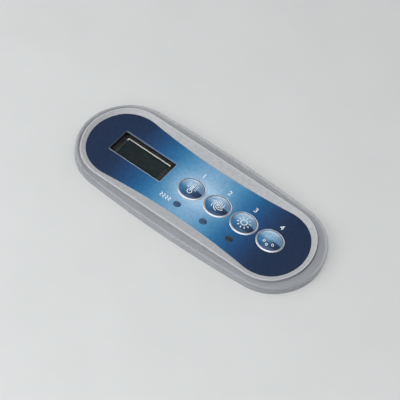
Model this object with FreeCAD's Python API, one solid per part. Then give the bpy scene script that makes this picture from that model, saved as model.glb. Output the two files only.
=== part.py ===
import FreeCAD
import Part
import math
import os

# Control panel of a hot tub: an oval facia with a display, four push buttons and three indicators,
# held in a dished bezel and a clear rim, with its electronics in a housing below the mounting plane.
# X runs along the panel from the display end to the button end, Y up the face as it is read, Z out of
# the face. The origin lies on the mounting plane, under the middle of the facia. Lengths are millimetres.

V = FreeCAD.Vector

# Face layout, from the display end to the button end
display_margin = 17.1
display_width = 39.8
display_height = 19.8
display_rise = 0.5
display_corner = 1.0
display_to_button = 18.6
button_count = 4
button_pitch = 20.0
button_margin = 25.1
indicator_count = 3
indicator_row = 16.6

# Outlines seen from above: waisted facia, bezel with nearly straight sides, and the rim that is wider at
# the button end. The ease is how much larger an end's radius is than half the width there.
facia_lobe_width = 57.4
facia_waist_inset = 3.85
facia_corner_radius = 22.3
facia_end_ease = 5.8
bezel_border_end = 3.4
bezel_border_side = 4.65
bezel_bow = 0.3
bezel_corner_radius = 24.0
bezel_end_ease = 7.0
rim_border_display_end = 2.8
rim_border_button_end = 7.8
rim_border_side = 7.05
rim_bow = 2.4
rim_corner_radius = 30.0
rim_end_ease = 4.2
rim_lip = 2.0
rim_bead = 1.2
channel_slope = 1.1
groove_width = 0.5
flange_inset = 0.3
skirt_inset_end = 8.7
indicator_wall_gap = 3.2
wall = 2.0

# Heights of the layers, from the mounting plane up
seal_thickness = 1.0
rim_ledge = 0.8
flange_thickness = 1.2
plate_thickness = 2.5
facia_thickness = 1.0
bezel_rise = 1.4
bezel_lip = 0.6
bezel_edge_round = 0.4
rim_height = 5.2
rim_edge_round = 1.0
channel_depth = 0.7
groove_chamfer = 0.3

# Depths below the mounting plane
skirt_depth = 20.0
board_drop = 8.5
board_thickness = 1.6
cover_seal_thickness = 0.8
cover_thickness = 2.5
cover_rim_height = 3.0
cover_rim_wall = 1.5

# Buttons
cap_radius = 8.1
cap_edge_height = 0.3
cap_dome_rise = 1.6
cap_wall = 1.6
cap_flange_width = 1.2
cap_flange_thickness = 1.0
stem_radius = 1.8
press_travel = 0.8
ring_radius = 9.32
ring_sleeve_wall = 0.65
ring_height = 0.6
ring_foot = 0.1
ring_bulge = 0.12
switch_size = 6.0
switch_height = 3.5
plunger_radius = 1.6
plunger_height = 2.0
plunger_seat = 0.6
boot_base_radius = 8.6
boot_base_height = 1.2
boot_top_radius = 7.2
boot_wall = 1.2
boot_collar = 1.2

# Indicators
lens_radius = 2.45
lens_dome_rise = 0.6
lens_flange_width = 0.75
lens_flange_thickness = 0.8
led_radius = 2.5
led_flange_radius = 2.9
led_flange_height = 1.0
led_lens_gap = 0.2

# Display
window_thickness = 1.0
window_overlap = 1.5
display_depth = 4.5
polariser_thickness = 0.3
polariser_inset = 1.05
glass_width = 33.1
glass_height = 19.6
glass_offset = 0.7
glass_thickness = 2.2
holder_wall = 1.5
strip_width = 2.2
backlight_width = 3.0
backlight_height = 0.8

# Board parts, cable inlet and screws
chip_size = 10.0
chip_height = 1.6
header_pins = 8
header_pin_pitch = 2.54
header_pin_size = 0.64
header_pin_length = 6.0
header_depth = 5.0
header_base = 2.5
capacitor_radius = 3.15
capacitor_height = 5.4
inlet_radius = 3.0
inlet_neck_wall = 1.8
inlet_lip_width = 2.0
inlet_lip_thickness = 1.2
screw_radius = 1.4
screw_head_radius = 2.7
screw_head_height = 1.6
screw_bite = 6.0
drive_length = 3.0
drive_width = 0.7
drive_depth = 0.9
boss_radius = 3.0
boss_overlap = 0.4
cover_boss_angle = 60.0

# Clearances
slide_clearance = 0.15
seat_clearance = 0.1
loose_clearance = 0.4
recess_clearance = 0.2

# Levels worked out from the layers
ledge_top = seal_thickness + rim_ledge
plate_top = ledge_top + flange_thickness
plate_bottom = plate_top - plate_thickness
facia_top = plate_top + facia_thickness
bezel_top = facia_top + bezel_rise
board_top = plate_bottom - board_drop
board_bottom = board_top - board_thickness
cover_top = -skirt_depth - cover_seal_thickness
cover_bottom = cover_top - cover_thickness
glass_top = facia_top - display_depth - polariser_thickness
glass_bottom = glass_top - glass_thickness

# Plan sizes worked out from the layout
display_to_end = display_width + display_to_button + (button_count - 1) * button_pitch + button_margin
facia_length = display_margin + display_to_end
facia_left = -facia_length / 2
display_x = facia_left + display_margin + display_width / 2
display_place = (display_x, display_rise)
glass_place = (display_x - glass_offset, display_rise)
first_button_x = display_x + display_width / 2 + display_to_button
bezel_length = facia_length + 2 * bezel_border_end
bezel_width = facia_lobe_width + 2 * bezel_border_side
rim_length = bezel_length + rim_border_display_end + rim_border_button_end
rim_width = bezel_width + 2 * rim_border_side
rim_shift = (rim_border_button_end - rim_border_display_end) / 2
facia_waist_width = facia_lobe_width - 2 * facia_waist_inset
facia_shape = (facia_length, facia_waist_width, -facia_waist_inset, facia_corner_radius, facia_end_ease)
bezel_shape = (bezel_length, bezel_width, bezel_bow, bezel_corner_radius, bezel_end_ease)
rim_shape = (rim_length, rim_width, rim_bow, rim_corner_radius, rim_end_ease)
lens_flange_radius = lens_radius + lens_flange_width
room_length = bezel_length - 2 * skirt_inset_end - 2 * wall
room_width = 2 * (indicator_row + lens_flange_radius + indicator_wall_gap)
skirt_length = room_length + 2 * wall
skirt_width = room_width + 2 * wall
sleeve_inner_radius = cap_radius + slide_clearance
sleeve_radius = sleeve_inner_radius + ring_sleeve_wall
cap_flange_radius = cap_radius + cap_flange_width
holder_width = display_width + 2 * holder_wall
holder_height = display_height + 2 * holder_wall

button_xs = [first_button_x + i * button_pitch for i in range(button_count)]
indicator_xs = button_xs[:indicator_count]


def tangent_oval(shape, z, grow=0.0, shift=0.0):
    """Closed wire of eight tangent arcs: two ends, two long sides and four corners.

    shape is length, width at the middle, bow of the sides (negative where they are drawn in), corner radius
    and end ease. grow moves every arc outward and keeps its centre, so grown outlines run parallel.
    """
    length, width, bow, corner_radius, end_ease = shape
    crest = width / 2 - bow
    end_radius = crest + end_ease
    end_centre = V(length / 2 - end_radius, 0, 0)
    corner_y = crest - corner_radius
    corner_x = end_centre.x + math.sqrt((end_radius - corner_radius) ** 2 - corner_y ** 2)
    corner = V(corner_x, corner_y, 0)
    side_radius = (corner_x ** 2 + (corner_y - width / 2) ** 2 - corner_radius ** 2) / (2 * bow)
    side_centre = V(0, width / 2 - side_radius, 0)
    to_end = (corner - end_centre).normalize()
    to_side = (corner - side_centre).normalize() * math.copysign(1, bow)
    reach = corner_radius + grow
    end_joint = corner + to_end * reach
    corner_middle = corner + (to_end + to_side).normalize() * reach
    side_joint = corner + to_side * reach
    end_tip = V(length / 2 + grow, 0, 0)
    side_tip = V(0, width / 2 + grow, 0)

    def mirrored(point, x_sign, y_sign):
        return V(x_sign * point.x + shift, y_sign * point.y, z)

    edges = []
    for sign in (1, -1):
        edges.append((mirrored(end_joint, sign, -sign), mirrored(end_tip, sign, 1),
                      mirrored(end_joint, sign, sign)))
        edges.append((mirrored(end_joint, sign, sign), mirrored(corner_middle, sign, sign),
                      mirrored(side_joint, sign, sign)))
        edges.append((mirrored(side_joint, sign, sign), mirrored(side_tip, 1, sign),
                      mirrored(side_joint, -sign, sign)))
        edges.append((mirrored(side_joint, -sign, sign), mirrored(corner_middle, -sign, sign),
                      mirrored(end_joint, -sign, sign)))
    return Part.Wire([Part.Arc(*stops).toShape() for stops in edges])


def stadium(length, width, z):
    """Two straight sides joined by half circles."""
    radius = width / 2
    x = length / 2 - radius
    edges = [
        Part.Arc(V(x, -radius, z), V(length / 2, 0, z), V(x, radius, z)).toShape(),
        Part.LineSegment(V(x, radius, z), V(-x, radius, z)).toShape(),
        Part.Arc(V(-x, radius, z), V(-length / 2, 0, z), V(-x, -radius, z)).toShape(),
        Part.LineSegment(V(-x, -radius, z), V(x, -radius, z)).toShape(),
    ]
    return Part.Wire(edges)


def prism(outline, height):
    """Solid raised from a flat outline."""
    return Part.Face(outline).extrude(V(0, 0, height))


def block(width, depth, bottom, top, x=0.0, y=0.0):
    """Rectangular solid centred on (x, y)."""
    return Part.makeBox(width, depth, top - bottom, V(x - width / 2, y - depth / 2, bottom))


def rounded_block(width, depth, corner, bottom, top, x=0.0, y=0.0):
    """Rectangular solid with round upright edges."""
    box = block(width, depth, bottom, top, x, y)
    upright = [edge for edge in box.Edges if abs(edge.tangentAt(edge.FirstParameter).z) > 0.5]
    return box.makeFillet(corner, upright)


def cylinder(radius, bottom, top, x=0.0, y=0.0):
    """Upright round bar."""
    return Part.makeCylinder(radius, top - bottom, V(x, y, bottom))


def turned(points, x=0.0, y=0.0, bulges=None):
    """Solid turned about the upright axis through (x, y), from (radius, z) points.

    bulges gives, for the side that starts at a point's number, a point that its arc passes through.
    """
    through = bulges or {}
    corners = [V(radius, 0, z) for radius, z in points]
    edges = []
    for number, start in enumerate(corners):
        finish = corners[(number + 1) % len(corners)]
        if number in through:
            radius, z = through[number]
            edges.append(Part.Arc(start, V(radius, 0, z), finish).toShape())
        else:
            edges.append(Part.LineSegment(start, finish).toShape())
    solid = Part.Face(Part.Wire(edges)).revolve(V(0, 0, 0), V(0, 0, 1), 360)
    solid.translate(V(x, y, 0))
    return solid


def dome_middle(radius, rise, base):
    """Point half way up a spherical dome that stands on a circle at height base."""
    sphere = (radius ** 2 + rise ** 2) / (2 * rise)
    half_angle = math.asin(radius / sphere) / 2
    return (sphere * math.sin(half_angle), base + rise - sphere * (1 - math.cos(half_angle)))


def round_top_edge(solid, top, radius):
    """Fillet the outline at the top of a prism."""
    rim = [edge for edge in solid.Edges if edge.BoundBox.ZMin > top - radius]
    return solid.makeFillet(radius, rim)


def end_positions(angle, inset):
    """Four places at the round ends of the room, the inset away from its wall."""
    end_x = (room_length - room_width) / 2
    reach = room_width / 2 - inset
    x = end_x + reach * math.cos(math.radians(angle))
    y = reach * math.sin(math.radians(angle))
    return [(sx * x, sy * y) for sx in (-1, 1) for sy in (-1, 1)]


def board_boss_positions():
    """Two places above and below the display, and two between the second and third buttons."""
    reach = holder_height / 2 + boss_radius + loose_clearance
    button_x = (button_xs[1] + button_xs[2]) / 2
    places = [(display_x, display_rise + sign * reach) for sign in (-1, 1)]
    return places + [(button_x, sign * indicator_row) for sign in (-1, 1)]


cover_boss_places = end_positions(cover_boss_angle, boss_radius - boss_overlap)
board_boss_places = board_boss_positions()


def clear_rim():
    """Clear moulded rim: a bead outside a shallow channel, a ledge for the flange, a rebate for the seal."""
    body = prism(tangent_oval(rim_shape, 0, shift=rim_shift), rim_height)
    body = round_top_edge(body, rim_height, rim_edge_round)
    channel = Part.makeLoft([
        tangent_oval(rim_shape, rim_height - channel_depth, -rim_bead - channel_slope, rim_shift),
        tangent_oval(rim_shape, rim_height, -rim_bead, rim_shift),
    ], True, True)
    mouth = prism(tangent_oval(bezel_shape, ledge_top, groove_width), rim_height - ledge_top)
    flare_height = channel_depth + groove_chamfer
    flare = Part.makeLoft([
        tangent_oval(bezel_shape, rim_height - flare_height, groove_width),
        tangent_oval(bezel_shape, rim_height, groove_width + flare_height),
    ], True, True)
    rebate = prism(tangent_oval(rim_shape, 0, -rim_lip, rim_shift), seal_thickness)
    throat = prism(stadium(skirt_length + 2 * loose_clearance, skirt_width + 2 * loose_clearance, 0),
                   ledge_top)
    return body.cut([channel, mouth, flare, rebate, throat])


def seat_seal():
    """Flat foam ring that beds the rim on the mounting plane."""
    ring = prism(tangent_oval(rim_shape, 0, -rim_lip - seat_clearance, rim_shift), seal_thickness)
    throat = prism(stadium(skirt_length + 2 * loose_clearance, skirt_width + 2 * loose_clearance, 0),
                   seal_thickness)
    return ring.cut(throat)


def silver_bezel():
    """Dished frame: its face climbs from the waisted facia to the lip of its own outline."""
    frame = prism(tangent_oval(bezel_shape, plate_top), bezel_top - plate_top)
    frame = round_top_edge(frame, bezel_top, bezel_edge_round)
    dish = Part.makeLoft([
        tangent_oval(facia_shape, facia_top),
        tangent_oval(bezel_shape, bezel_top, -bezel_lip),
    ], True, True)
    pocket = prism(tangent_oval(facia_shape, plate_top), facia_thickness)
    return frame.cut([dish, pocket])


def blue_facia():
    """Printed plate in the bezel's pocket, open for the display, the buttons and the indicators."""
    plate = prism(tangent_oval(facia_shape, plate_top, -seat_clearance), facia_thickness)
    cuts = [rounded_block(display_width, display_height, display_corner,
                          plate_top, facia_top, *display_place)]
    cuts += [cylinder(sleeve_radius + seat_clearance, plate_top, facia_top, x) for x in button_xs]
    cuts += [cylinder(lens_radius + seat_clearance, plate_top, facia_top, x, -indicator_row)
             for x in indicator_xs]
    return plate.cut(cuts)


def boss(place, bottom):
    """Screw boss hanging from the housing's plate."""
    return cylinder(boss_radius, bottom, plate_bottom + boss_overlap, *place)


def pilot(place, bottom):
    """Screw hole up into a boss."""
    return cylinder(screw_radius + seat_clearance, bottom, bottom + screw_bite + loose_clearance, *place)


def front_housing():
    """Moulded housing: flange, plate with the openings, skirt through the cut-out, and screw bosses."""
    flange = prism(tangent_oval(bezel_shape, ledge_top, -flange_inset), flange_thickness)
    skirt = prism(stadium(skirt_length, skirt_width, -skirt_depth), skirt_depth + ledge_top)
    room = prism(stadium(room_length, room_width, -skirt_depth), skirt_depth + plate_bottom)
    shell = flange.fuse(skirt).cut(room)
    bosses = [boss(place, -skirt_depth) for place in cover_boss_places]
    bosses += [boss(place, board_top) for place in board_boss_places]
    shell = shell.fuse(bosses)
    cuts = [pilot(place, -skirt_depth) for place in cover_boss_places]
    cuts += [pilot(place, board_top) for place in board_boss_places]
    rebate_width = display_width + 2 * window_overlap + 2 * seat_clearance
    rebate_height = display_height + 2 * window_overlap + 2 * seat_clearance
    cuts.append(rounded_block(rebate_width, rebate_height, display_corner,
                              plate_top - window_thickness, plate_top, *display_place))
    cuts.append(rounded_block(display_width, display_height, display_corner,
                              plate_bottom, plate_top, *display_place))
    cuts += [cylinder(sleeve_radius + seat_clearance, plate_bottom, plate_top, x) for x in button_xs]
    for x in indicator_xs:
        cuts.append(cylinder(lens_radius + seat_clearance, plate_bottom, plate_top, x, -indicator_row))
        cuts.append(cylinder(lens_flange_radius + seat_clearance,
                             plate_top - lens_flange_thickness, plate_top, x, -indicator_row))
    return shell.cut(cuts).removeSplitter()


def display_window():
    """Clear window in the housing's rebate, held down by the facia."""
    return rounded_block(display_width + 2 * window_overlap, display_height + 2 * window_overlap,
                         display_corner, plate_top - window_thickness, plate_top, *display_place)


def display_holder():
    """Black frame between the board and the plate: a light well above, a pocket for the glass below."""
    body = block(holder_width, holder_height, board_top, plate_bottom, *display_place)
    well = rounded_block(display_width, display_height, display_corner,
                         glass_top, plate_bottom, *display_place)
    pocket = block(glass_width + 2 * seat_clearance, glass_height + 2 * seat_clearance,
                   board_top, glass_top, *glass_place)
    return body.cut([well, pocket])


def lcd_glass():
    """Display glass, lying on the light guide and the contact strips."""
    return block(glass_width, glass_height, glass_bottom, glass_top, *glass_place)


def lcd_polariser():
    """Dark film on the glass that leaves a margin of bare glass all round."""
    return block(glass_width - 2 * polariser_inset, glass_height - 2 * polariser_inset,
                 glass_top, glass_top + polariser_thickness, *glass_place)


def contact_strips():
    """Two rubber strips that carry the contacts from the board up to the edges of the glass."""
    x, y = glass_place
    reach = (glass_height - strip_width) / 2
    return Part.makeCompound([block(glass_width, strip_width, board_top, glass_bottom, x, y + side * reach)
                              for side in (-1, 1)])


def backlight_places():
    """Places of the two backlight lamps, a quarter of the glass from its middle."""
    x, y = glass_place
    return [(x + side * glass_width / 4, y) for side in (-1, 1)]


def light_guide():
    """Milky block behind the glass, with a pocket over each backlight lamp."""
    depth = glass_height - 2 * strip_width - 2 * recess_clearance
    guide = block(glass_width, depth, board_top, glass_bottom, *glass_place)
    size = backlight_width + 2 * recess_clearance
    return guide.cut([block(size, size, board_top, board_top + backlight_height + recess_clearance, *place)
                      for place in backlight_places()])


def backlight_lamps():
    """Two surface lamps on the board, under the light guide."""
    top = board_top + backlight_height
    return Part.makeCompound([block(backlight_width, backlight_width, board_top, top, *place)
                              for place in backlight_places()])


def button_cap(x):
    """Domed hollow cap with a stop flange under the plate and a stem down to its switch."""
    edge = facia_top + cap_edge_height
    ceiling = edge - cap_wall
    hollow_radius = cap_radius - cap_wall
    flange_bottom = plate_bottom - cap_flange_thickness
    stem_bottom = board_top + switch_height + plunger_height
    points = [
        (0, stem_bottom), (stem_radius, stem_bottom), (stem_radius, ceiling), (hollow_radius, ceiling),
        (hollow_radius, flange_bottom), (cap_flange_radius, flange_bottom), (cap_flange_radius, plate_bottom),
        (cap_radius, plate_bottom), (cap_radius, edge), (0, edge + cap_dome_rise),
    ]
    return turned(points, x, bulges={8: dome_middle(cap_radius, cap_dome_rise, edge)})


def button_ring(x):
    """Bright collar that falls away from the cap to the facia, on a sleeve that guides the cap."""
    foot = facia_top + ring_foot
    crest = facia_top + ring_height
    run = ring_radius - sleeve_inner_radius
    fall = ring_height - ring_foot
    slope = math.hypot(run, fall)
    swell = (sleeve_inner_radius + run / 2 + ring_bulge * fall / slope,
             foot + fall / 2 + ring_bulge * run / slope)
    points = [
        (sleeve_inner_radius, plate_bottom), (sleeve_radius, plate_bottom), (sleeve_radius, facia_top),
        (ring_radius, facia_top), (ring_radius, foot), (sleeve_inner_radius, crest),
    ]
    return turned(points, x, bulges={4: swell})


def return_boot(x):
    """Soft boot round the switch that seals the button and pushes its flange back up."""
    top = plate_bottom - cap_flange_thickness
    base_top = board_top + boot_base_height
    inner_base = boot_base_radius - boot_wall
    inner_top = boot_top_radius - boot_wall
    points = [
        (boot_base_radius, board_top), (boot_base_radius, base_top), (boot_top_radius, top - boot_collar),
        (boot_top_radius, top), (inner_top, top), (inner_top, top - boot_collar),
        (inner_base, base_top), (inner_base, board_top),
    ]
    return turned(points, x)


def switch_body(x):
    """Square switch on the board, bored for its plunger."""
    top = board_top + switch_height
    case = block(switch_size, switch_size, board_top, top, x)
    depth = plunger_seat + press_travel + recess_clearance
    return case.cut(cylinder(plunger_radius + slide_clearance, top - depth, top, x))


def switch_plunger(x):
    """Plunger that the cap's stem rests on."""
    top = board_top + switch_height
    return cylinder(plunger_radius, top - plunger_seat, top + plunger_height, x)


def indicator_lens(x):
    """Dark lens in the facia, held by a flange in the plate's counterbore."""
    seat = plate_top - lens_flange_thickness
    points = [
        (0, plate_bottom), (lens_radius, plate_bottom), (lens_radius, seat), (lens_flange_radius, seat),
        (lens_flange_radius, plate_top), (lens_radius, plate_top), (lens_radius, facia_top),
        (0, facia_top + lens_dome_rise),
    ]
    return turned(points, x, -indicator_row, bulges={6: dome_middle(lens_radius, lens_dome_rise, facia_top)})


def indicator_led(x):
    """Round lamp standing on the board, close under its lens."""
    tip = plate_bottom - led_lens_gap
    shoulder = tip - led_radius
    flange_top = board_top + led_flange_height
    points = [
        (0, board_top), (led_flange_radius, board_top), (led_flange_radius, flange_top),
        (led_radius, flange_top), (led_radius, shoulder), (0, tip),
    ]
    return turned(points, x, -indicator_row, bulges={4: dome_middle(led_radius, led_radius, shoulder)})


def circuit_board():
    """Board across the room, cleared round the cover bosses and drilled for its screws."""
    gap = 2 * loose_clearance
    board = prism(stadium(room_length - gap, room_width - gap, board_bottom), board_thickness)
    cuts = [cylinder(boss_radius + loose_clearance, board_bottom, board_top, *place)
            for place in cover_boss_places]
    cuts += [cylinder(screw_radius + recess_clearance, board_bottom, board_top, *place)
             for place in board_boss_places]
    return board.cut(cuts)


def controller_chip():
    """Square controller under the board, below the third button."""
    return block(chip_size, chip_size, board_bottom - chip_height, board_bottom, button_xs[2])


def supply_capacitor():
    """Round capacitor under the board, below the last button."""
    return cylinder(capacitor_radius, board_bottom - capacitor_height, board_bottom, button_xs[-1])


def cable_header():
    """Row of pins under the board that the cable plugs on to, below the display."""
    bottom = board_bottom - header_base
    base = block(header_pins * header_pin_pitch, header_depth, bottom, board_bottom, display_x)
    first = display_x - (header_pins - 1) * header_pin_pitch / 2
    pins = [block(header_pin_size, header_pin_size, bottom - header_pin_length, bottom,
                  first + i * header_pin_pitch) for i in range(header_pins)]
    return base.fuse(pins)


def screw(place, seat, reach):
    """Pan screw driven upward: its cross-slotted head hangs under the seat and its shank ends at reach."""
    face = seat - screw_head_height
    points = [
        (0, face), (screw_head_radius, face), (screw_head_radius, seat), (screw_radius, seat),
        (screw_radius, reach), (0, reach),
    ]
    cross = [block(drive_length, drive_width, face, face + drive_depth, *place),
             block(drive_width, drive_length, face, face + drive_depth, *place)]
    return turned(points, *place).cut(cross)


def board_screws():
    """Four screws that hold the board up against its bosses."""
    return Part.makeCompound([screw(place, board_bottom, board_top + screw_bite)
                              for place in board_boss_places])


def cover_screw_seat():
    """Level of the counterbored seats in the cover, so that the heads lie just inside its back."""
    return cover_bottom + screw_head_height + recess_clearance


def cover_screws():
    """Four screws through the cover into the housing's bosses."""
    return Part.makeCompound([screw(place, cover_screw_seat(), -skirt_depth + screw_bite)
                              for place in cover_boss_places])


def cover_seal():
    """Flat gasket between the skirt's edge and the cover."""
    ring = prism(stadium(skirt_length, skirt_width, cover_top), cover_seal_thickness)
    ring = ring.cut(prism(stadium(room_length, room_width, cover_top), cover_seal_thickness))
    pads = [cylinder(boss_radius, cover_top, -skirt_depth, *place) for place in cover_boss_places]
    holes = [cylinder(screw_radius + recess_clearance, cover_top, -skirt_depth, *place)
             for place in cover_boss_places]
    return ring.fuse(pads).cut(holes).removeSplitter()


def back_cover():
    """Cover plate with a locating rim, counterbored screw holes and a recessed cable inlet."""
    plate = prism(stadium(skirt_length, skirt_width, cover_bottom), cover_thickness)
    outer_length = room_length - 2 * loose_clearance
    outer_width = room_width - 2 * loose_clearance
    inner_length = outer_length - 2 * cover_rim_wall
    inner_width = outer_width - 2 * cover_rim_wall
    rim = prism(stadium(outer_length, outer_width, cover_top), cover_rim_height)
    rim = rim.cut(prism(stadium(inner_length, inner_width, cover_top), cover_rim_height))
    rim = rim.cut([cylinder(boss_radius + loose_clearance, cover_top, cover_top + cover_rim_height, *place)
                   for place in cover_boss_places])
    cuts = [cylinder(screw_radius + recess_clearance, cover_bottom, cover_top, *place)
            for place in cover_boss_places]
    cuts += [cylinder(screw_head_radius + recess_clearance, cover_bottom, cover_screw_seat(), *place)
             for place in cover_boss_places]
    neck_radius = inlet_radius + inlet_neck_wall
    recess_top = cover_bottom + inlet_lip_thickness + recess_clearance
    cuts.append(cylinder(neck_radius + seat_clearance, cover_bottom, cover_top))
    cuts.append(cylinder(neck_radius + inlet_lip_width + recess_clearance, cover_bottom, recess_top))
    return plate.fuse(rim).cut(cuts).removeSplitter()


def cable_grommet():
    """Rubber grommet in the cover's inlet, with a lip each side and the cable's bore through it."""
    neck_radius = inlet_radius + inlet_neck_wall
    lip_radius = neck_radius + inlet_lip_width
    bottom = cover_bottom + recess_clearance
    groove_bottom = bottom + inlet_lip_thickness
    top = cover_top + inlet_lip_thickness
    points = [
        (inlet_radius, bottom), (lip_radius, bottom), (lip_radius, groove_bottom),
        (neck_radius, groove_bottom), (neck_radius, cover_top), (lip_radius, cover_top),
        (lip_radius, top), (inlet_radius, top),
    ]
    return turned(points)


def save(name, shape):
    """Write one node."""
    shape.exportStep(os.path.join("parts", name + ".step"))


os.makedirs("parts", exist_ok=True)

single_nodes = [
    clear_rim, seat_seal, silver_bezel, blue_facia, front_housing, display_window, display_holder,
    lcd_glass, lcd_polariser, contact_strips, light_guide, backlight_lamps, circuit_board, controller_chip,
    supply_capacitor, cable_header, board_screws, cover_seal, back_cover, cable_grommet, cover_screws,
]
for make in single_nodes:
    save(make.__name__, make())

button_nodes = [button_cap, button_ring, return_boot, switch_body, switch_plunger]
for make in button_nodes:
    for number, x in enumerate(button_xs, 1):
        save(f"{make.__name__}_{number}", make(x))

indicator_nodes = [indicator_lens, indicator_led]
for make in indicator_nodes:
    for number, x in enumerate(indicator_xs, 1):
        save(f"{make.__name__}_{number}", make(x))
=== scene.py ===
import bmesh
import bpy
import numpy as np
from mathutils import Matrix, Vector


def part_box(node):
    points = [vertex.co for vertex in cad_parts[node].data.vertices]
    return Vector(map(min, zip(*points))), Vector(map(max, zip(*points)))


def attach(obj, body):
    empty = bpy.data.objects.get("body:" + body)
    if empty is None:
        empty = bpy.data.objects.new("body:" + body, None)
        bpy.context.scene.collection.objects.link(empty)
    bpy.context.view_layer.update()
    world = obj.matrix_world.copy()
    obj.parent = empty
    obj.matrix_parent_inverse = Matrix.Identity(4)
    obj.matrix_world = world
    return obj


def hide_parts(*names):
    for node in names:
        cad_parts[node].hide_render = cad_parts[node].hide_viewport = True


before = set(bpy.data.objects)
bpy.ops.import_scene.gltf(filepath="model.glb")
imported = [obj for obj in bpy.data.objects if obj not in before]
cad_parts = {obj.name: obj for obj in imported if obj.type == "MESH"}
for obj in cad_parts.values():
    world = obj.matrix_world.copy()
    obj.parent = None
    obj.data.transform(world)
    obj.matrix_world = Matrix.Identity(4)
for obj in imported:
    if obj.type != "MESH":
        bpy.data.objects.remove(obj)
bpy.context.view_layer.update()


# Seat seal: a ring of grey closed-cell foam, die-cut from sheet, with soft bulging edges.
# It is stuck in the rebate under the rim and beds the panel on the mounting surface.
foam_end_radius = 40.1
foam_corner_radius = 27.9
foam_crest = 35.9
foam_side_angle = 86.0
foam_hole_end = 50.0
foam_hole_radius = 25.4
arc_points = 60


def paint(red, green, blue):
    """Linear colour for a shader socket from a screen colour of 0 to 255."""
    screen = np.array([red, green, blue]) / 255
    linear = np.where(screen <= 0.04045, screen / 12.92, ((screen + 0.055) / 1.055) ** 2.4)
    return (*linear.tolist(), 1.0)


def add(tree, kind, inputs, **options):
    """One node in a tree. Each input takes a number, a colour or another node's output."""
    made = tree.nodes.new(kind)
    for option, value in options.items():
        setattr(made, option, value)
    for socket, value in inputs.items():
        if isinstance(value, bpy.types.NodeSocket):
            tree.links.new(value, made.inputs[socket])
        else:
            made.inputs[socket].default_value = value
    return made


def maths(tree, operation, *values):
    """The result of one sum on numbers or sockets."""
    return add(tree, "ShaderNodeMath", dict(enumerate(values)), operation=operation).outputs[0]


def spread(tree, value, low, high, to_low=0.0, to_high=1.0, curve="SMOOTHSTEP"):
    """A value carried from one range to another and held at its ends."""
    inputs = {0: value, 1: low, 2: high, 3: to_low, 4: to_high}
    return add(tree, "ShaderNodeMapRange", inputs, interpolation_type=curve).outputs[0]


def mixed(tree, share, first, second):
    """Two colours mixed by a share, where 0 is the first."""
    return add(tree, "ShaderNodeMix", {0: share, 6: first, 7: second}, data_type="RGBA").outputs[2]


def millimetres(tree):
    """Place on the piece in millimetres, from its own Object coordinates."""
    where = add(tree, "ShaderNodeTexCoord", {}).outputs["Object"]
    return add(tree, "ShaderNodeVectorMath", {0: where, 3: 1000.0}, operation="SCALE").outputs[0]


def xyz(tree, place):
    """The three parts of a place."""
    return add(tree, "ShaderNodeSeparateXYZ", {0: place}).outputs


def effect(name, inputs, outputs):
    """An empty shader node group with named sockets, and its two end nodes' sockets."""
    group = bpy.data.node_groups.new(name, "ShaderNodeTree")
    for socket, kind in inputs.items():
        group.interface.new_socket(name=socket, in_out="INPUT", socket_type=kind)
    for socket, kind in outputs.items():
        group.interface.new_socket(name=socket, in_out="OUTPUT", socket_type=kind)
    start = add(group, "NodeGroupInput", {})
    end = add(group, "NodeGroupOutput", {})
    return group, start.outputs, end.inputs


def use(tree, group, inputs):
    """The outputs of a shared effect placed in a material with its own values."""
    return add(tree, "ShaderNodeGroup", inputs, node_tree=group).outputs


mottle, given, result = effect(
    "mottle",
    {"Place": "NodeSocketVector", "Patch": "NodeSocketFloat",
     "Light": "NodeSocketColor", "Dark": "NodeSocketColor"},
    {"Colour": "NodeSocketColor", "Mask": "NodeSocketFloat"})
patch_scale = maths(mottle, "DIVIDE", 1.0, given["Patch"])
patches = add(mottle, "ShaderNodeTexNoise",
              {"Vector": given["Place"], "Scale": patch_scale, "Detail": 5.0, "Roughness": 0.6})
patch_mask = spread(mottle, patches.outputs[0], 0.3, 0.7)
mottle.links.new(mixed(mottle, patch_mask, given["Dark"], given["Light"]), result["Colour"])
mottle.links.new(patch_mask, result["Mask"])

grain, given, result = effect(
    "grain",
    {"Place": "NodeSocketVector", "Size": "NodeSocketFloat"},
    {"Height": "NodeSocketFloat"})
grain_scale = maths(grain, "DIVIDE", 1.0, given["Size"])
pits = add(grain, "ShaderNodeTexVoronoi", {"Vector": given["Place"], "Scale": grain_scale})
dust = add(grain, "ShaderNodeTexNoise",
           {"Vector": given["Place"], "Scale": grain_scale, "Detail": 3.0})
pitted = maths(grain, "ADD", maths(grain, "MULTIPLY", pits.outputs[0], 0.6), dust.outputs[0])
grain.links.new(pitted, result["Height"])


def finish(name, **constants):
    """A new material: itself, its tree, its shader and the place on the piece in millimetres."""
    material = bpy.data.materials.new(name)
    material.use_nodes = True
    tree = material.node_tree
    shader = tree.nodes["Principled BSDF"]
    for socket, value in constants.items():
        shader.inputs[socket.replace("_", " ")].default_value = value
    return material, tree, shader, millimetres(tree)


def mottled(tree, place, patch, light, dark):
    """Colour that wanders between two screen colours in patches of a size, and the mask of its patches."""
    inputs = {"Place": place, "Patch": patch, "Light": paint(*light), "Dark": paint(*dark)}
    return use(tree, mottle, inputs)


def gloss(tree, mask, smooth, rough):
    """Roughness that wanders with a mask."""
    return spread(tree, mask, 0.0, 1.0, smooth, rough)


def raised(tree, height, strength, relief):
    """The shading normal of a relief, whose depth is in millimetres."""
    inputs = {"Height": height, "Strength": strength, "Distance": relief / 1000}
    return add(tree, "ShaderNodeBump", inputs).outputs[0]


def connect(tree, shader, **sources):
    """Joins sockets to the shader's inputs of those names."""
    for socket, source in sources.items():
        tree.links.new(source, shader.inputs[socket.replace("_", " ")])


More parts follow.
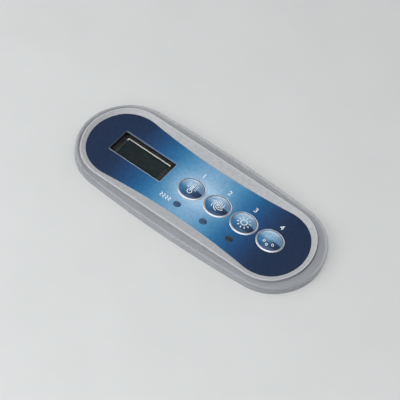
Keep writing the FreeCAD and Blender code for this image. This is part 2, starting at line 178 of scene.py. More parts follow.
def moulded(name, light, dark, patch, grain_size, relief, smooth, rough, **constants):
    """A plastic, rubber or foam finish: mottled colour and gloss with a grained surface."""
    material, tree, shader, place = finish(name, **constants)
    tone = mottled(tree, place, patch, light, dark)
    bumps = use(tree, grain, {"Place": place, "Size": grain_size})
    connect(tree, shader, Base_Color=tone["Colour"], Roughness=gloss(tree, tone["Mask"], smooth, rough),
            Normal=raised(tree, bumps["Height"], strength=0.5, relief=relief))
    return material


def dress(material, *names):
    """Gives CAD nodes a finish."""
    for name in names:
        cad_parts[name].material_slots[0].material = material


def put(name, data):
    """A new object at the origin that shows a mesh or other data."""
    piece = bpy.data.objects.new(name, data)
    bpy.context.scene.collection.objects.link(piece)
    return piece


def grid_faces(rows, columns, closed):
    """Four-sided faces of a grid whose columns close on themselves, and its rows too where closed."""
    i, j = np.meshgrid(np.arange(rows if closed else rows - 1), np.arange(columns), indexing="ij")
    up, on = (i + 1) % rows, (j + 1) % columns
    corners = [i * columns + j, i * columns + on, up * columns + on, up * columns + j]
    return np.stack(corners, -1).reshape(-1, 4)


def surface(name, points, faces):
    """A mesh from points in millimetres and faces."""
    mesh = bpy.data.meshes.new(name)
    mesh.from_pydata((points / 1000).tolist(), [], faces.tolist())
    return mesh


def solid_piece(name, points, faces):
    """A piece from points in millimetres and faces that close, with its faces turned outwards."""
    mesh = surface(name, points, faces)
    work = bmesh.new()
    work.from_mesh(mesh)
    bmesh.ops.recalc_face_normals(work, faces=work.faces)
    work.to_mesh(mesh)
    work.free()
    return put(name, mesh)


def arc(x, y, radius, start, end, n=40, end_radius=None):
    """Points on an arc or spiral round (x, y), with angles in degrees and the radius changing evenly."""
    angle = np.radians(np.linspace(start, end, n))
    reach = np.linspace(radius, radius if end_radius is None else end_radius, n)
    return np.stack([x + reach * np.cos(angle), y + reach * np.sin(angle)], 1)


def even_points(quarter, n):
    """n points evenly spaced round an outline that mirrors a quarter drawn from its end to its side."""
    half = np.concatenate([quarter, quarter[::-1] * [-1, 1]])
    whole = np.concatenate([half, -half])
    ring = np.concatenate([whole, whole[:1]])
    run = np.concatenate([[0.0], np.cumsum(np.linalg.norm(np.diff(ring, axis=0), axis=1))])
    stops = np.linspace(0.0, run[-1], n, endpoint=False)
    return np.stack([np.interp(stops, run, ring[:, 0]), np.interp(stops, run, ring[:, 1])], 1)


def foam_outline(n):
    """n points round the foam's outer oval: flat ends, rounder corners and slightly bowed sides."""
    low, high = [np.array(corner) * 1000 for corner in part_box("seat_seal")]
    end_x = (high[0] - low[0]) / 2 - foam_end_radius
    corner_y = foam_crest - foam_corner_radius
    corner_x = end_x + np.sqrt((foam_end_radius - foam_corner_radius) ** 2 - corner_y ** 2)
    lean = np.degrees(np.arctan2(corner_y, corner_x - end_x))
    quarter = np.concatenate([arc(end_x, 0.0, foam_end_radius, 0.0, lean, arc_points),
                              arc(corner_x, corner_y, foam_corner_radius, lean, foam_side_angle, arc_points),
                              [[0.0, high[1]]]])
    return even_points(quarter, n) + [(low[0] + high[0]) / 2, 0.0]


def foam_surface(n=360):
    """A flat ring: at outline point j and profile point i it lies share[i] of the way from a round-ended
    inner outline to the outer oval, at height[i], and the profile closes on itself."""
    outer = foam_outline(n)
    hole_end = arc(foam_hole_end, 0.0, foam_hole_radius, 0.0, 90.0, arc_points)
    inner = even_points(np.concatenate([hole_end, [[0.0, foam_hole_radius]]]), n)
    share = np.array([0.0, 0.004, 0.02, 0.98, 0.996, 1.0, 0.996, 0.98, 0.02, 0.004])
    height = np.array([0.45, 0.8, 0.92, 0.92, 0.8, 0.45, 0.1, 0.0, 0.0, 0.1])
    flat = inner[None] + share[:, None, None] * (outer - inner)[None]
    level = np.broadcast_to(height[:, None, None], (len(share), n, 1))
    points = np.concatenate([flat, level], 2).reshape(-1, 3)
    return solid_piece("foam_ring", points, grid_faces(len(share), n, closed=True))


foam = moulded("grey_foam", light=(184, 187, 191), dark=(172, 175, 180), patch=9.0,
               grain_size=0.45, relief=0.08, smooth=0.82, rough=0.95)
dress(foam, "seat_seal")
foam_ring = foam_surface()
foam_ring.data.materials.append(foam)
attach(foam_ring, "panel")
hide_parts("seat_seal")


# Clear rim: moulded clear plastic, wider at the button end, with a painted highlight along the top of its
# bead on the far side.
# Its polished faces run into each other with no hard edge.
# It holds the housing on an inner ledge and lies on the foam.
rim_passing_share = 0.76
rim_edge_radius = 1.5
crest_highlight_level = (4.55, 5.05)
crest_highlight_far_side = (-25.0, 25.0)


def see_through(tree, shader, where, share=1.0):
    """Lets a share of the light straight through a surface where a mask says so."""
    passing = add(tree, "ShaderNodeBsdfTransparent", {0: (share, share, share, 1.0)})
    either = add(tree, "ShaderNodeMixShader", {0: where, 1: shader.outputs[0], 2: passing.outputs[0]})
    tree.links.new(either.outputs[0], tree.nodes["Material Output"].inputs[0])


rim_plastic, tree, shader, place = finish("clear_rim_plastic", Transmission_Weight=0.6, IOR=1.47,
                                          Specular_IOR_Level=0.2)
x, y, z = xyz(tree, place)
tone = mottled(tree, place, patch=40.0, light=(190, 193, 197), dark=(184, 187, 192))
# Painted highlight: the top of the bead is painted lighter on the far side, fading out towards the near
# side.
painted_crest_highlight = maths(tree, "MULTIPLY", spread(tree, z, *crest_highlight_level), spread(tree, y, *crest_highlight_far_side))
eased = add(tree, "ShaderNodeBevel", {"Radius": rim_edge_radius / 1000}, samples=6)
connect(tree, shader,
        Base_Color=mixed(tree, painted_crest_highlight, tone["Colour"], paint(216, 218, 220)),
        Roughness=gloss(tree, tone["Mask"], smooth=0.05, rough=0.10),
        Normal=eased.outputs[0])
ray = add(tree, "ShaderNodeLightPath", {}).outputs
lighting = maths(tree, "MAXIMUM", ray["Is Shadow Ray"], ray["Is Diffuse Ray"])
see_through(tree, shader, lighting, rim_passing_share)
dress(rim_plastic, "clear_rim")


# Front housing: one grey moulding with flange, face plate, skirt and screw bosses, with painted shade, near
# black, on its walls inside the display opening. Its flange rests on the rim's ledge, and its skirt reaches
# down through the cutout.
display_middle = (-43.3, 0.5)
display_half = (19.9, 9.9)
display_corner = 1.0
recess_shade_margin = (1.8, 1.4)
recess_shade_level = (0.3, 0.4)


def from_display(tree, x, y):
    """Distance outside the display's round-cornered opening, negative inside it."""
    past = []
    for place, middle, half in zip((x, y), display_middle, display_half):
        reach = maths(tree, "ABSOLUTE", maths(tree, "SUBTRACT", place, middle))
        over = maths(tree, "MAXIMUM", maths(tree, "SUBTRACT", reach, half - display_corner), 0.0)
        past.append(maths(tree, "MULTIPLY", over, over))
    return maths(tree, "SUBTRACT", maths(tree, "SQRT", maths(tree, "ADD", *past)), display_corner)


housing_plastic, tree, shader, place = finish("housing_plastic")
x, y, z = xyz(tree, place)
tone = mottled(tree, place, patch=22.0, light=(116, 118, 121), dark=(104, 106, 109))
# Painted shade: the walls inside the display opening are darkened to near black.
recess_shade = maths(tree, "MULTIPLY", spread(tree, from_display(tree, x, y), *recess_shade_margin),
                  spread(tree, z, *recess_shade_level))
texture = use(tree, grain, {"Place": place, "Size": 0.35})
connect(tree, shader,
        Base_Color=mixed(tree, recess_shade, tone["Colour"], paint(20, 21, 22)),
        Roughness=gloss(tree, tone["Mask"], smooth=0.42, rough=0.60),
        Normal=raised(tree, texture["Height"], strength=0.3, relief=0.05))
dress(housing_plastic, "front_housing")


# Button rings: bright plated trim rings with guide sleeves, turned and polished.
# They are pushed into the housing's plate from the front, round each button.
first_button = -4.8
button_pitch = 20.0
button_count = 4
button_places = [first_button + i * button_pitch for i in range(button_count)]
turning_rate = 60.0


def numbered(name, count):
    """The names of like pieces, numbered from 1."""
    return [f"{name}_{i + 1}" for i in range(count)]


def from_button(tree, place):
    """Place across and along the nearest button, and the distance from its middle."""
    x, y, z = xyz(tree, place)
    across = maths(tree, "WRAP", maths(tree, "SUBTRACT", x, first_button),
                   button_pitch / 2, -button_pitch / 2)
    square = maths(tree, "ADD", maths(tree, "MULTIPLY", across, across), maths(tree, "MULTIPLY", y, y))
    return across, y, maths(tree, "SQRT", square)


def ripple(tree, value, rate):
    """A wave along a value, with its rate in radians for each millimetre."""
    return maths(tree, "SINE", maths(tree, "MULTIPLY", value, rate))


ring_plating, tree, shader, place = finish("ring_plating", Metallic=1.0)
across, along, radius = from_button(tree, place)
tone = mottled(tree, place, patch=5.0, light=(188, 191, 197), dark=(170, 174, 181))
connect(tree, shader,
        Base_Color=tone["Colour"],
        Roughness=gloss(tree, tone["Mask"], smooth=0.28, rough=0.38),
        Normal=raised(tree, ripple(tree, radius, turning_rate), strength=0.06, relief=0.02))
dress(ring_plating, *numbered("button_ring", button_count))


# Button caps: domed clear blue caps with a painted reflection of a light upper and a dark lower half,
# painted shade towards the right, a painted highlight at the top and a painted sheen in the middle.
# Each slides in its ring and carries its sign on top.
cap_shade_span = (-7.0, 6.0)
cap_highlight_band = (1.5, 6.5)
cap_highlight_fade = (0.0, 6.0)
cap_foot_band = (-4.0, -8.0)
cap_blur_span = (-6.0, 3.0)
cap_blur = (2.2, 0.35)
cap_sheen_x = -1.5
cap_sheen_y = 1.0

glow, given, result = effect(
    "glow",
    {"Across": "NodeSocketFloat", "Along": "NodeSocketFloat", "Width": "NodeSocketFloat",
     "Height": "NodeSocketFloat", "Strength": "NodeSocketFloat"},
    {"Mask": "NodeSocketFloat"})
wide = maths(glow, "POWER", maths(glow, "DIVIDE", given["Across"], given["Width"]), 2.0)
high = maths(glow, "POWER", maths(glow, "DIVIDE", given["Along"], given["Height"]), 2.0)
fading = maths(glow, "EXPONENT", maths(glow, "MULTIPLY", maths(glow, "ADD", wide, high), -1.0))
strong = maths(glow, "MULTIPLY", fading, given["Strength"])
glow.links.new(maths(glow, "MINIMUM", strong, 1.0), result["Mask"])


def tinted(tree, first, second):
    """Two colours multiplied."""
    return add(tree, "ShaderNodeMix", {0: 1.0, 6: first, 7: second},
               data_type="RGBA", blend_type="MULTIPLY").outputs[2]


cap_blue_and_painted_light, tree, shader, place = finish("cap_blue_and_painted_light", Specular_IOR_Level=0.15, Coat_Weight=0.25,
                                        Coat_Roughness=0.08)
across, along, radius = from_button(tree, place)
# Over the caps' own blue: a painted reflection split into a light upper and a dark lower half, and painted
# shade towards the right.
painted_shade_to_right = spread(tree, across, *cap_shade_span)
upper = mixed(tree, painted_shade_to_right, paint(136, 164, 190), paint(104, 147, 182))
# Painted highlight at the top of each cap, fading towards the right.
painted_top_highlight = mixed(tree, spread(tree, across, *cap_highlight_fade), paint(180, 208, 233), paint(126, 158, 190))
upper = mixed(tree, spread(tree, along, *cap_highlight_band), upper, painted_top_highlight)
lower = mixed(tree, painted_shade_to_right, paint(46, 106, 148), paint(26, 52, 84))
lower = mixed(tree, spread(tree, along, *cap_foot_band), lower, paint(44, 78, 116))
horizon = maths(tree, "DIVIDE", along, spread(tree, across, *cap_blur_span, *cap_blur))
painted_reflection = mixed(tree, spread(tree, horizon, -1.0, 1.0), lower, upper)
# Painted sheen in the middle of each cap.
painted_sheen = use(tree, glow, {"Across": maths(tree, "SUBTRACT", across, cap_sheen_x),
                         "Along": maths(tree, "SUBTRACT", along, cap_sheen_y),
                         "Width": 3.8, "Height": 3.2, "Strength": 0.66})
painted_reflection = mixed(tree, painted_sheen["Mask"], painted_reflection, paint(166, 210, 240))
tone = mottled(tree, place, patch=1.6, light=(255, 255, 255), dark=(226, 229, 234))
connect(tree, shader,
        Base_Color=tinted(tree, painted_reflection, tone["Colour"]),
        Roughness=gloss(tree, tone["Mask"], smooth=0.22, rough=0.32))
dress(cap_blue_and_painted_light, *numbered("button_cap", button_count))


# Signs on the caps: a thermometer, a swirl, a sun and bubbles in white ink.
# Each is screen printed on its cap, so its lines follow the dome and ride with the button.
cap_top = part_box("button_cap_1")[1].z * 1000
dome_radius = 21.3
ink_lift = 0.012
ink_sink = 0.08
sign_shift = np.array([0.2, -0.6])


def on_dome(x, y, middle):
    """Height of the cap's dome: a ball of dome_radius with its top at cap_top, less the ink just there."""
    square = (x - middle) ** 2 + y ** 2
    return np.minimum(cap_top - ink_lift, cap_top - dome_radius + np.sqrt(dome_radius ** 2 - square))


def ink_lines(name, strokes, width, height):
    """Raised ink lines as one mesh. A stroke is a path of points, closed if its ends meet, that carries a
    flat section: point (i, j) is path[i] plus side[j] across the path, at the surface's height there plus
    level[j], and an open stroke has a face at each end."""
    side = np.array([-0.5, -0.5, 0.5, 0.5]) * width
    level = np.array([-ink_sink, ink_lift, ink_lift, -ink_sink])
    points, faces, count = [], [], 0
    for path in strokes:
        closed = bool(np.allclose(path[0], path[-1]))
        path = path[:-1] if closed else path
        n = len(path)
        if closed:
            run = np.roll(path, -1, 0) - np.roll(path, 1, 0)
        else:
            run = np.gradient(path, axis=0)
        run = run / np.linalg.norm(run, axis=1, keepdims=True)
        normal = np.stack([-run[:, 1], run[:, 0]], 1)
        flat = path[:, None, :] + side[None, :, None] * normal[:, None, :]
        z = height(flat[..., 0], flat[..., 1]) + level[None, :]
        points.append(np.concatenate([flat, z[..., None]], 2).reshape(-1, 3))
        faces.append(grid_faces(n, 4, closed) + count)
        if not closed:
            ends = np.array([[3, 2, 1, 0], [n * 4 - 4, n * 4 - 3, n * 4 - 2, n * 4 - 1]])
            faces.append(ends + count)
        count += n * 4
    return solid_piece(name, np.concatenate(points), np.concatenate(faces))


def line(x0, y0, x1, y1, n=12):
    """Points on a straight line."""
    return np.stack([np.linspace(x0, x1, n), np.linspace(y0, y1, n)], 1)


white_ink = moulded("white_ink", light=(238, 242, 247), dark=(216, 222, 230), patch=1.2,
                    grain_size=0.2, relief=0.01, smooth=0.42, rough=0.58)

bulb = arc(0.0, -2.9, 1.5, 118, 422, 48)
tube = np.concatenate([bulb, line(0.7, -1.5, 0.7, 3.6), arc(0.0, 3.6, 0.7, 0, 180, 16),
                       line(-0.7, 3.6, -0.7, -1.5), bulb[:1]])
mercury = line(0.0, -2.9, 0.0, 1.6)
ticks = [line(side * 1.7, y, side * 3.3, y, 6) for side in (-1, 1) for y in (-0.5, 0.9, 2.3, 3.7)]
swirl = [arc(0.0, 0.0, 1.5, a, a + 105, 24, 4.3) for a in range(0, 360, 60)]
sun_reach = np.linspace(3.3, 4.7, 6)
sun_rays = [np.stack([np.cos(a) * sun_reach, np.sin(a) * sun_reach], 1)
            for a in np.radians(np.arange(0, 360, 36) + 18)]
bubbles = [arc(x, y, 0.7, 0, 360) for x, y in ((-2.7, -2.8), (3.3, -2.35), (0.0, -4.3))]
signs = {
    "sign_thermometer": ([tube, mercury] + ticks, 0.44),
    "sign_swirl": (swirl + [arc(0.0, 0.0, 0.75, 0, 360)], 0.5),
    "sign_sun": ([arc(0.0, 0.0, 2.1, 0, 360)] + sun_rays, 0.56),
    "sign_bubbles": (bubbles, 0.42),
}
for i, (name, (strokes, width)) in enumerate(signs.items()):
    middle = button_places[i]
    moved = [path + np.array([middle, 0.0]) + sign_shift for path in strokes]
    sign = ink_lines(name, moved, width, lambda x, y: on_dome(x, y, middle))
    sign.data.materials.append(white_ink)
    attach(sign, f"button_{i + 1}")


# Indicator lenses: small dark domed lenses moulded in slate blue plastic.
# They are held by a flange behind the facia, under the first three buttons.
indicator_count = 3
lens_fade = (10.0, 36.0)

lens_plastic, tree, shader, place = finish("lens_plastic", Specular_IOR_Level=0.25)
x, y, z = xyz(tree, place)
tint = mixed(tree, spread(tree, x, *lens_fade), paint(54, 86, 118), paint(36, 50, 58))
tone = mottled(tree, place, patch=1.4, light=(255, 255, 255), dark=(222, 226, 232))
connect(tree, shader,
        Base_Color=tinted(tree, tint, tone["Colour"]),
        Roughness=gloss(tree, tone["Mask"], smooth=0.30, rough=0.42))
dress(lens_plastic, *numbered("indicator_lens", indicator_count))


# Display window: a clear plate let into the housing behind the facia's opening.
# It is seen only by its hairline scratches from wiping.
scratch_edge = (0.62, 0.72)
scratch_alpha = 0.04

window_clear, tree, shader, place = finish("window_clear", IOR=1.2)
stretched = add(tree, "ShaderNodeMapping",
                {0: place, "Rotation": (0.0, 0.0, 0.5), "Scale": (0.12, 5.0, 1.0)})
hairs = add(tree, "ShaderNodeTexNoise", {"Vector": stretched.outputs[0], "Scale": 1.0, "Detail": 2.0})
scratch = spread(tree, hairs.outputs[0], *scratch_edge)
tone = mottled(tree, place, patch=6.0, light=(246, 249, 248), dark=(238, 242, 241))
connect(tree, shader,
        Base_Color=tone["Colour"],
        Roughness=gloss(tree, scratch, smooth=0.05, rough=0.3),
        Alpha=spread(tree, scratch, 0.0, 1.0, 0.0, scratch_alpha))
dress(window_clear, "display_window")


# Blue facia: a plate printed with a blue glow between two dark ends, under a satin film.
# A thin line round the display's opening is a painted highlight on its cut edge, brightest on the near side
# and faintest at the left end.
# It is bonded to the housing's plate and framed by the bezel.
glow_middle = 0.5
blues_reach = 80.0
blues_wander = 3.0
facia_blues = [(0.0, (122, 170, 205)), (0.10, (116, 163, 199)), (0.17, (96, 154, 193)),
               (0.25, (74, 139, 181)), (0.35, (49, 112, 160)), (0.45, (41, 91, 137)),
               (0.55, (40, 71, 112)), (0.66, (38, 57, 88)), (0.76, (36, 51, 78)), (1.0, (38, 51, 77))]
edge_highlight_reach = (0.32, 0.58)
edge_highlight_near_side = (-9.0, -9.6)
edge_highlight_left_end = (-63.3, -62.8)

facia_print_and_edge_highlight, tree, shader, place = finish("facia_print_and_edge_highlight", Specular_IOR_Level=0.08)
x, y, z = xyz(tree, place)
wander = add(tree, "ShaderNodeTexNoise", {"Vector": place, "Scale": 0.09, "Detail": 4.0, "Roughness": 0.65})
shift = spread(tree, wander.outputs[0], 0.0, 1.0, -blues_wander, blues_wander, "LINEAR")
aside = maths(tree, "SUBTRACT", x, glow_middle)
from_glow = maths(tree, "ABSOLUTE", maths(tree, "ADD", aside, shift))
blues = add(tree, "ShaderNodeValToRGB", {0: maths(tree, "DIVIDE", from_glow, blues_reach)})
band = blues.color_ramp
while len(band.elements) < len(facia_blues):
    band.elements.new(0.5)
for stop, (spot, colour) in zip(band.elements, facia_blues):
    stop.position = spot
    stop.color = paint(*colour)
bright = use(tree, glow, {"Across": aside, "Along": y, "Width": 14.0, "Height": 12.2, "Strength": 1.55})
lit = mixed(tree, bright["Mask"], blues.outputs[0], paint(172, 206, 232))
# Painted highlight along the opening's cut edge, strongest on the near side and weakest at the left end.
edge_highlight = spread(tree, from_display(tree, x, y), *edge_highlight_reach, 1.0, 0.0)
edge_highlight = maths(tree, "MULTIPLY", edge_highlight, spread(tree, y, *edge_highlight_near_side, 0.42, 0.95))
edge_highlight = maths(tree, "MULTIPLY", edge_highlight, spread(tree, x, *edge_highlight_left_end, 0.3, 1.0))
with_edge_highlight = mixed(tree, edge_highlight, lit, paint(160, 174, 192))
tone = mottled(tree, place, patch=2.2, light=(255, 255, 255), dark=(234, 237, 241))
film = use(tree, grain, {"Place": place, "Size": 0.18})
connect(tree, shader,
        Base_Color=tinted(tree, with_edge_highlight, tone["Colour"]),
        Roughness=gloss(tree, tone["Mask"], smooth=0.34, rough=0.44),
        Normal=raised(tree, film["Height"], strength=0.25, relief=0.01))
dress(facia_print_and_edge_highlight, "blue_facia")


# Marks on the facia: plain numerals over the buttons and wavy heat lines beside the first lens.
# They are screen printed in the same white ink.
facia_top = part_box("blue_facia")[1].z * 1000
numeral_height = 4.0
numeral_width = 0.95
numeral_weight = 0.006
numeral_row = 14.4
heat_row = -16.6
heat_places = (-17.0, -14.9, -12.8, -10.7)
heat_swing = 0.42
heat_rate = 2.6
heat_half_height = 1.8
heat_line_width = 0.6


def on_facia(x, y):
    """Height of the flat facia."""
    return np.full_like(x, facia_top)


def numeral(text, x, y):
    """One numeral as a thin raised mesh, its outline filled and sunk a little into the facia."""
    curve = bpy.data.curves.new(f"numeral_{text}", "FONT")
    curve.body = text
    curve.extrude = (ink_lift + ink_sink) / 2
    curve.offset = numeral_weight
    flat = put(f"numeral_{text}_outline", curve)
    mesh = bpy.data.meshes.new_from_object(flat.evaluated_get(bpy.context.evaluated_depsgraph_get()))
    bpy.data.objects.remove(flat)
    bpy.data.curves.remove(curve)
    points = np.empty(len(mesh.vertices) * 3)
    mesh.vertices.foreach_get("co", points)
    points = points.reshape(-1, 3)
    low, high = points.min(0), points.max(0)
    size = numeral_height / (high[1] - low[1])
    points[:, 0] = x + (points[:, 0] - (low[0] + high[0]) / 2) * size * numeral_width
    points[:, 1] = y + (points[:, 1] - (low[1] + high[1]) / 2) * size
    points[:, 2] = facia_top + np.where(points[:, 2] > 0, ink_lift, -ink_sink)
    mesh.vertices.foreach_set("co", (points / 1000).ravel())
    mesh.update()
    return put(f"numeral_{text}", mesh)


rise = np.linspace(-heat_half_height, heat_half_height, 28)
heat_waves = [np.stack([x + heat_swing * np.sin(rise * heat_rate), heat_row + rise], 1) for x in heat_places]
facia_marks = [numeral(str(i + 1), x, numeral_row) for i, x in enumerate(button_places)]
facia_marks.append(ink_lines("heat_lines", heat_waves, heat_line_width, on_facia))
for mark in facia_marks:
    mark.data.materials.clear()
    mark.data.materials.append(white_ink)
    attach(mark, "panel")


# Silver bezel: a moulded frame with a satin silver finish and a fine crossed hatch.
# It rises from the facia to a rounded lip with a painted highlight, and is bonded to the housing's plate.
hatch_rate = 7.0
hatch_share = 0.3
lip_highlight_level = (5.22, 5.36)

satin_silver, tree, shader, place = finish("satin_silver", Metallic=0.15)
x, y, z = xyz(tree, place)
one_way = ripple(tree, maths(tree, "ADD", x, y), hatch_rate)
other_way = ripple(tree, maths(tree, "SUBTRACT", x, y), hatch_rate)
hatch = maths(tree, "MULTIPLY", one_way, other_way)
tone = mottled(tree, place, patch=2.2, light=(186, 188, 190), dark=(169, 171, 174))
dull = spread(tree, hatch, -1.0, 1.0, 0.0, hatch_share)
hatched = mixed(tree, dull, tone["Colour"], paint(150, 153, 157))
# The lip's lighter colour is a painted highlight.
connect(tree, shader,
        Base_Color=mixed(tree, spread(tree, z, *lip_highlight_level), hatched, paint(190, 192, 195)),
        Roughness=gloss(tree, tone["Mask"], smooth=0.5, rough=0.6),
        Normal=raised(tree, hatch, strength=0.2, relief=0.03))
dress(satin_silver, "silver_bezel")


# Display: dark film on its glass, held by a black frame deep behind the window.
# The glass has a contact ledge along its far long edge, striped by its contacts and painted near white as a
# highlight, and sits on two rubber contact strips.
ledge_edge = (9.28, 9.40)
tab_edge = (8.2, 8.4)
tab_end = (-59.4, -59.6)
contact_rate = 12.0
contact_low = 0.85
strip_rate = 30.0

film_dark = moulded("display_film", light=(35, 44, 45), dark=(29, 37, 39), patch=14.0,
                    grain_size=0.5, relief=0.0005, smooth=0.40, rough=0.50, Specular_IOR_Level=0.1)
dress(film_dark, "lcd_polariser")

glass_dark, tree, shader, place = finish("display_glass")
x, y, z = xyz(tree, place)
tone = mottled(tree, place, patch=5.0, light=(44, 50, 48), dark=(34, 40, 38))
# Painted highlight: a near-white line along the glass's far ledge, wider at its left end and faintly striped
# by the contacts.
tab = maths(tree, "MULTIPLY", spread(tree, y, *tab_edge), spread(tree, x, *tab_end))
ledge = maths(tree, "MAXIMUM", spread(tree, y, *ledge_edge), tab)
contacts = spread(tree, ripple(tree, x, contact_rate), -1.0, 1.0, contact_low, 1.0)
ledge_highlight = maths(tree, "MULTIPLY", ledge, contacts)
connect(tree, shader,
        Base_Color=mixed(tree, ledge_highlight, tone["Colour"], paint(236, 238, 232)),
        Roughness=gloss(tree, tone["Mask"], smooth=0.08, rough=0.16))
dress(glass_dark, "lcd_glass")

frame_black = moulded("frame_black", light=(22, 23, 24), dark=(15, 16, 17), patch=6.0,
                      grain_size=0.3, relief=0.04, smooth=0.5, rough=0.66)
dress(frame_black, "display_holder")

strip_rubber, tree, shader, place = finish("strip_rubber")
x, y, z = xyz(tree, place)
layers = spread(tree, ripple(tree, x, strip_rate), -0.2, 0.2)
connect(tree, shader,
        Base_Color=mixed(tree, layers, paint(58, 60, 64), paint(196, 150, 152)),
        Roughness=gloss(tree, layers, smooth=0.55, rough=0.7))
dress(strip_rubber, "contact_strips")


# Backlight: a milky light guide over two small lamps on the board.
# The guide is clear plastic with a white dotted underside.
dot_edge = (0.30, 0.22)

guide_milky, tree, shader, place = finish("guide_milky", Transmission_Weight=0.4)
dots = add(tree, "ShaderNodeTexVoronoi", {"Vector": place, "Scale": 1.1, "Randomness": 0.0})
dotted = spread(tree, dots.outputs[0], *dot_edge)
connect(tree, shader,
        Base_Color=mixed(tree, dotted, paint(222, 228, 226), paint(250, 250, 248)),
        Roughness=gloss(tree, dotted, smooth=0.2, rough=0.5))
dress(guide_milky, "light_guide")

lamp_white = moulded("lamp_white", light=(244, 240, 206), dark=(228, 220, 176), patch=1.0,
                     grain_size=0.3, relief=0.01, smooth=0.25, rough=0.4)
dress(lamp_white, "backlight_lamps")


# Circuit board: green fibreglass with copper tracks under the solder mask.
# It is screwed to the housing's bosses and carries the switches, lamps, chip, can and header.
can_sleeve_level = (-14.2, -14.0)
header_pin_level = (-12.16, -12.1)

board_mask, tree, shader, place = finish("board_mask")
tracks = add(tree, "ShaderNodeTexBrick",
             {"Vector": place, "Scale": 1.0, "Mortar Size": 0.22, "Mortar Smooth": 0.2,
              "Brick Width": 7.0, "Row Height": 1.6, "Color1": (0.0, 0.0, 0.0, 1.0),
              "Color2": (0.12, 0.12, 0.12, 1.0), "Mortar": (1.0, 1.0, 1.0, 1.0)})
tone = mottled(tree, place, patch=12.0, light=(34, 96, 62), dark=(24, 78, 50))
connect(tree, shader,
        Base_Color=mixed(tree, tracks.outputs[0], tone["Colour"], paint(56, 128, 84)),
        Roughness=gloss(tree, tone["Mask"], smooth=0.3, rough=0.42),
        Normal=raised(tree, tracks.outputs[1], strength=0.3, relief=0.04))
dress(board_mask, "circuit_board")

chip_black = moulded("chip_black", light=(44, 44, 46), dark=(34, 34, 36), patch=3.0,
                     grain_size=0.18, relief=0.03, smooth=0.5, rough=0.65)
dress(chip_black, "controller_chip")

can_metal, tree, shader, place = finish("can_metal", Metallic=1.0)
x, y, z = xyz(tree, place)
tone = mottled(tree, place, patch=4.0, light=(206, 208, 210), dark=(186, 188, 192))
sleeve = spread(tree, z, *can_sleeve_level)
connect(tree, shader,
        Base_Color=mixed(tree, sleeve, tone["Colour"], paint(150, 154, 160)),
        Roughness=gloss(tree, tone["Mask"], smooth=0.25, rough=0.38))
dress(can_metal, "supply_capacitor")

header_black, tree, shader, place = finish("header_black")
x, y, z = xyz(tree, place)
tone = mottled(tree, place, patch=3.0, light=(48, 48, 50), dark=(36, 36, 38))
pins = spread(tree, z, *header_pin_level, 1.0, 0.0)
connect(tree, shader,
        Base_Color=mixed(tree, pins, tone["Colour"], paint(206, 170, 96)),
        Metallic=pins,
        Roughness=gloss(tree, tone["Mask"], smooth=0.35, rough=0.5))
dress(header_black, "cable_header")


# Switches: four tactile switches soldered to the board, each with a plunger under its cap.
# Soft silicone boots stand round them, seal the buttons and push them back.
dress(chip_black, *numbered("switch_body", button_count))

plunger_plastic = moulded("plunger_plastic", light=(206, 204, 198), dark=(190, 188, 180), patch=2.0,
                          grain_size=0.3, relief=0.02, smooth=0.4, rough=0.5)
dress(plunger_plastic, *numbered("switch_plunger", button_count))

boot_silicone = moulded("boot_silicone", light=(192, 196, 200), dark=(172, 177, 183), patch=4.0,
                        grain_size=0.4, relief=0.03, smooth=0.5, rough=0.68, Transmission_Weight=0.15)
dress(boot_silicone, *numbered("return_boot", button_count))


# Indicator lamps: round lamps in tinted resin, soldered to the board under the lenses.
# Each has a flat flange at its foot.
lamp_resin = moulded("lamp_resin", light=(196, 74, 62), dark=(170, 54, 46), patch=2.0,
                     grain_size=0.5, relief=0.01, smooth=0.12, rough=0.22, Transmission_Weight=0.4)
dress(lamp_resin, *numbered("indicator_led", indicator_count))


# Back cover: a grey moulded plate on a rubber seal, with a raised locating rim inside.
# It is held by four screws, and the cable enters through its rubber grommet.
seal_rubber = moulded("seal_rubber", light=(40, 41, 43), dark=(30, 31, 33), patch=8.0,
                      grain_size=0.5, relief=0.04, smooth=0.62, rough=0.8)
dress(seal_rubber, "cover_seal", "cable_grommet")
dress(housing_plastic, "back_cover")


# Screws: pan-head steel screws with crossed slots, in the board and in the cover's counterbored seats.
# They are zinc plated, with the fine grain that plating leaves.
screw_zinc, tree, shader, place = finish("screw_zinc", Metallic=1.0)
tone = mottled(tree, place, patch=1.5, light=(212, 212, 206), dark=(180, 180, 176))
bumps = use(tree, grain, {"Place": place, "Size": 0.25})
connect(tree, shader,
        Base_Color=tone["Colour"],
        Roughness=gloss(tree, tone["Mask"], smooth=0.26, rough=0.42),
        Normal=raised(tree, bumps["Height"], strength=0.3, relief=0.02))
dress(screw_zinc, "board_screws", "cover_screws")


# Studio: a plain pale floor at the seat plane, open under the foam and seen from above only.
# Soft lamps stand above, near, far and below, and the camera is at the photograph's angle.
floor_radius = 3000.0
floor_level = -0.02
floor_tuck = 0.995
room_light = (0.26, 0.26, 0.2633, 1.0)
room_seen = (0.62, 0.63, 0.64, 1.0)


def floor_surface(n=240):
    """A flat ring at floor_level: point (i, j) lies share[i] of the way from just inside the foam's outline
    to a wide circle."""
    inner = foam_outline(n) * floor_tuck
    angle = np.arctan2(inner[:, 1], inner[:, 0])
    outer = np.stack([np.cos(angle), np.sin(angle)], 1) * floor_radius
    share = np.array([0.0, 0.02, 0.1, 0.4, 1.0])
    flat = inner[None] + share[:, None, None] * (outer - inner)[None]
    points = np.concatenate([flat, np.full((len(share), n, 1), floor_level)], 2).reshape(-1, 3)
    facing_up = grid_faces(len(share), n, closed=False)[:, ::-1]
    return put("floor", surface("floor", points, facing_up))


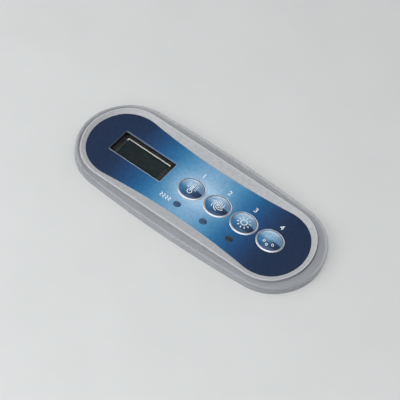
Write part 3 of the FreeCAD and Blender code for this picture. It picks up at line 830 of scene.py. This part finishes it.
floor = floor_surface()
floor_white, tree, shader, place = finish("floor_white", Roughness=0.7, Specular_IOR_Level=0.15)
tone = mottled(tree, place, patch=60.0, light=(216, 218, 218), dark=(213, 215, 215))
connect(tree, shader, Base_Color=tone["Colour"])
see_through(tree, shader, add(tree, "ShaderNodeNewGeometry", {}).outputs["Backfacing"])
floor.data.materials.append(floor_white)

world = bpy.data.worlds.new("studio")
world.use_nodes = True
tree = world.node_tree
ray = add(tree, "ShaderNodeLightPath", {}).outputs
seen = maths(tree, "MAXIMUM", maths(tree, "MAXIMUM", ray["Is Camera Ray"], ray["Is Glossy Ray"]),
             ray["Is Transmission Ray"])
tree.links.new(mixed(tree, seen, room_light, room_seen), tree.nodes["Background"].inputs[0])
bpy.context.scene.world = world


def soft_lamp(name, towards, distance, width, height, power):
    """A rectangular lamp that stands in a direction from the panel and faces it.
    It isn't seen through clear plastic."""
    lamp = bpy.data.lights.new(name, "AREA")
    lamp.shape = "RECTANGLE"
    lamp.energy = power
    lamp.size = width
    lamp.size_y = height
    stand = put(name, lamp)
    direction = np.array(towards) / np.linalg.norm(towards)
    stand.location = (direction * distance).tolist()
    stand.visible_transmission = False
    stand.rotation_euler = stand.location.to_track_quat("Z", "Y").to_euler()


soft_lamp("top_lamp", (0.08, -0.25, 0.95), distance=1.2, width=1.2, height=1.0, power=7.6)
soft_lamp("near_lamp", (-0.5, -0.70, 0.42), distance=1.2, width=2.4, height=0.6, power=14.5)
soft_lamp("far_lamp", (0.0, 0.98, 0.16), distance=1.2, width=1.4, height=0.3, power=2.8)
soft_lamp("under_lamp", (0.2, -0.4, -0.9), distance=1.1, width=1.4, height=1.4, power=9.0)

camera_data = bpy.data.cameras.new("camera")
camera_data.sensor_width = 36.0
camera_data.lens = 180.0
camera_data.clip_start = 0.05
camera_data.clip_end = 20.0
camera = put("camera", camera_data)
camera_right = np.array([0.80915502, 0.55468556, 0.1938868])
camera_down = np.array([0.53715264, -0.56450672, -0.62673695])
camera_ahead = np.array([-0.23819154, 0.61127415, -0.75472426])
camera_place = np.array([0.302115, -0.768527, 0.948288])
camera_pose = np.eye(4)
camera_pose[:3] = np.stack([camera_right, -camera_down, -camera_ahead, camera_place], 1)
camera.matrix_world = camera_pose.T.tolist()
bpy.context.scene.camera = camera
bpy.context.scene.view_settings.view_transform = "Standard"
